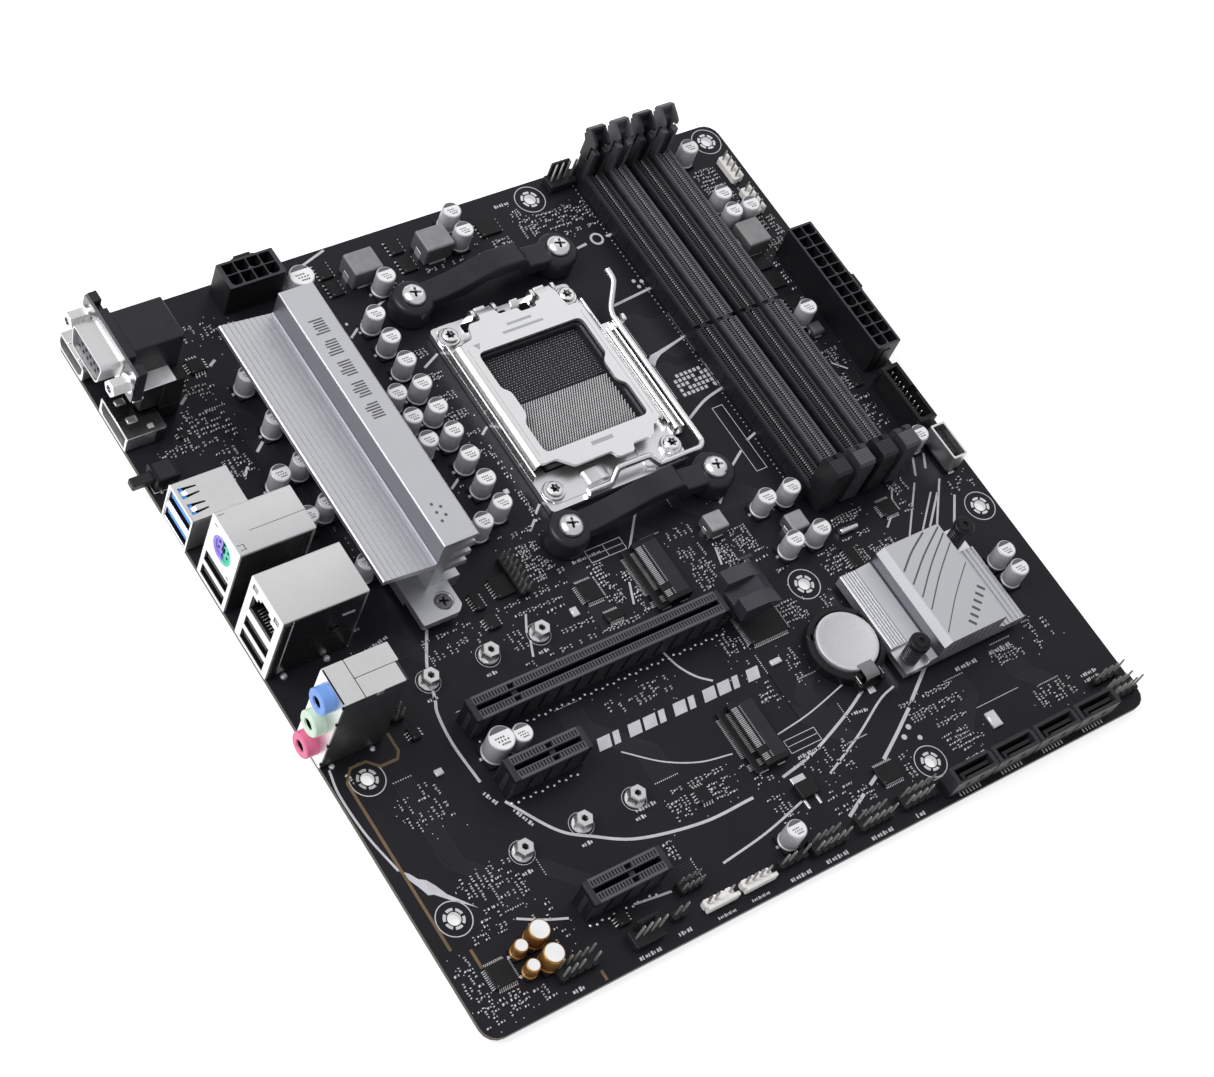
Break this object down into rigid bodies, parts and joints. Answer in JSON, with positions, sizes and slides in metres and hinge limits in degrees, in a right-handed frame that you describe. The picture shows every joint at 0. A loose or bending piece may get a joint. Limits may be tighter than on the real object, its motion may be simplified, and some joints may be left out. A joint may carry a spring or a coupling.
{
  "type": "computer motherboard",
  "caption": "Micro-ATX computer motherboard: black board with processor socket, memory and expansion slots, finned heatsinks and rear connectors.",
  "frame": {"origin": "bottom centre of the assembly's box, on the plane that its backplate and lead tails rest on", "axes": "+Z out of the populated face, -X towards the rear connector edge, +Y towards the processor (top) edge"},
  "size_m": [0.2502, 0.2438, 0.0389],
  "materials": {
    "solder_mask": "near-black solder mask over fibreglass laminate",
    "backplate_steel": "grey plated steel",
    "socket_plastic": "dark moulded plastic",
    "plated_steel": "plated steel",
    "bright_nickel": "bright nickel",
    "black_plastic": "black moulded plastic",
    "grey_plastic": "dark grey moulded plastic",
    "satin_aluminium": "satin anodised",
    "smoke_plastic": "smoke-tinted plastic",
    "ferrite_grey": "moulded iron powder",
    "port_shell": "tin-plated shell over a plastic insulator"
  },
  "bodies": {
    "board": {"audio_stack": "grey_plastic", "battery_holder": "black_plastic", "bracket_screw_1": "bright_nickel", "bracket_screw_2": "bright_nickel", "bracket_screw_3": "bright_nickel", "bracket_screw_4": "bright_nickel", "chipset_chip": "socket_plastic", "chipset_heatsink": "satin_aluminium", "choke_1": "ferrite_grey", "choke_2": "ferrite_grey", "choke_3": "ferrite_grey", "coin_cell": "bright_nickel", "cooler_bracket_lower": "black_plastic", "cooler_bracket_upper": "black_plastic", "cpu_backplate": "backplate_steel", "cpu_fan_header": "black_plastic", "dimm_slot_1": "black_plastic", "dimm_slot_2": "grey_plastic", "dimm_slot_3": "black_plastic", "dimm_slot_4": "grey_plastic", "displayport_port": "port_shell", "flashback_switch": "black_plastic", "hdmi_port": "port_shell", "heatsink_screw": "bright_nickel", "lan_usb_stack": "port_shell", "m2_socket_1": "black_plastic", "m2_socket_2": "black_plastic", "pcb": "solder_mask", "pcie_x16_slot": "grey_plastic", "pcie_x1_slot_1": "grey_plastic", "pcie_x1_slot_2": "grey_plastic", "power_24pin": "black_plastic", "power_8pin": "black_plastic", "ps2_usb_stack": "port_shell", "push_pin_1": "black_plastic", "push_pin_2": "black_plastic", "sata_port_1": "grey_plastic", "sata_port_2": "grey_plastic", "sata_port_3": "grey_plastic", "sata_port_4": "grey_plastic", "socket_body": "socket_plastic", "socket_frame": "plated_steel", "socket_screw_1": "bright_nickel", "socket_screw_2": "bright_nickel", "socket_screw_3": "bright_nickel", "socket_screw_4": "bright_nickel", "usb3_header": "black_plastic", "usb3_stack": "port_shell", "usbc_header": "port_shell", "vga_port": "black_plastic", "vrm_heatsink": "satin_aluminium"},
    "plate": {"load_plate": "bright_nickel"},
    "lever": {"load_lever": "bright_nickel"},
    "slot_latch": {"pcie_latch": "smoke_plastic"},
    "button": {"flashback_button": "black_plastic"},
    "memory_latch_1": {"dimm_latch_1": "black_plastic"},
    "memory_latch_2": {"dimm_latch_2": "grey_plastic"},
    "memory_latch_3": {"dimm_latch_3": "black_plastic"},
    "memory_latch_4": {"dimm_latch_4": "grey_plastic"}
  },
  "joints": [
    {"name": "load_plate_hinge", "type": "hinge", "parent": "board", "child": "plate", "pos_m": [0.01168, 0.07952, 0.0091], "axis": [-1, 0, 0], "range_deg": [0, 110]},
    {"name": "load_lever_hinge", "type": "hinge", "parent": "board", "child": "lever", "pos_m": [0.02128, 0.01072, 0.0079], "axis": [1, 0, 0], "range_deg": [0, 110]},
    {"name": "slot_latch_hinge", "type": "hinge", "parent": "board", "child": "slot_latch", "pos_m": [0.01768, -0.03998, 0.0079], "axis": [0, 1, 0], "range_deg": [0, 20]},
    {"name": "flashback_press", "type": "slide", "parent": "board", "child": "button", "axis": [1, 0, 0], "range_m": [0, 0.0005], "stiffness_N_per_m": 400},
    {"name": "memory_latch_1_hinge", "type": "hinge", "parent": "board", "child": "memory_latch_1", "pos_m": [0.06748, 0.11732, 0.0068], "axis": [-1, 0, 0], "range_deg": [0, 28]},
    {"name": "memory_latch_2_hinge", "type": "hinge", "parent": "board", "child": "memory_latch_2", "pos_m": [0.07672, 0.11732, 0.0068], "axis": [-1, 0, 0], "range_deg": [0, 28]},
    {"name": "memory_latch_3_hinge", "type": "hinge", "parent": "board", "child": "memory_latch_3", "pos_m": [0.08596, 0.11732, 0.0068], "axis": [-1, 0, 0], "range_deg": [0, 28]},
    {"name": "memory_latch_4_hinge", "type": "hinge", "parent": "board", "child": "memory_latch_4", "pos_m": [0.0952, 0.11732, 0.0068], "axis": [-1, 0, 0], "range_deg": [0, 28]}
  ]
}
